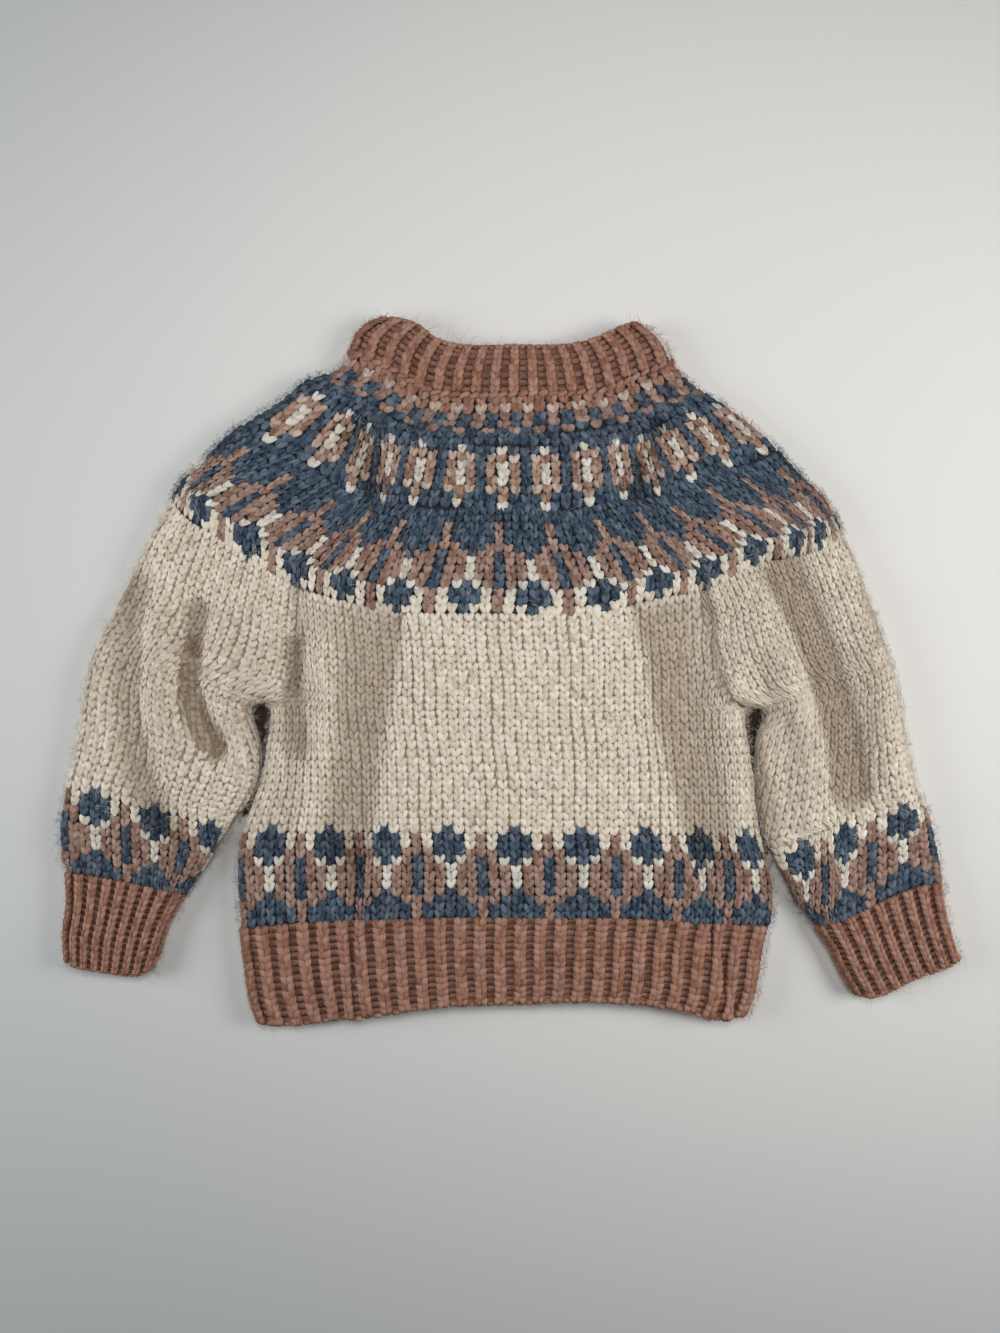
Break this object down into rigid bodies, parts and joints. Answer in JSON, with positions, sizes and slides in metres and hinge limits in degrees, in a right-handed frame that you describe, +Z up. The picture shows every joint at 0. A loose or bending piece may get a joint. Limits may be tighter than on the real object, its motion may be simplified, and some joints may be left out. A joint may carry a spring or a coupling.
{
  "type": "knitted jumper",
  "caption": "Small child's fair isle yoke jumper laid flat, with ribbed neckband, hem and cuffs, and colourwork bands.",
  "frame": {"origin": "middle of the garment's box on the surface it lies on", "axes": "+Z up from the surface, +Y towards the neck, +X towards the picture's right sleeve"},
  "size_m": [0.515, 0.4024, 0.0186],
  "materials": {
    "rose_wool": "brushed dusty rose aran wool, ribbed",
    "cream_wool": "brushed marled oatmeal aran wool",
    "blue_wool": "brushed slate blue aran wool with rose and white motifs"
  },
  "bodies": {
    "root": {"hem_rib": "rose_wool", "body": "cream_wool", "sleeve_left": "cream_wool", "sleeve_right": "cream_wool", "cuff_left": "rose_wool", "cuff_right": "rose_wool", "yoke": "blue_wool", "neckband": "rose_wool"}
  },
  "joints": []
}
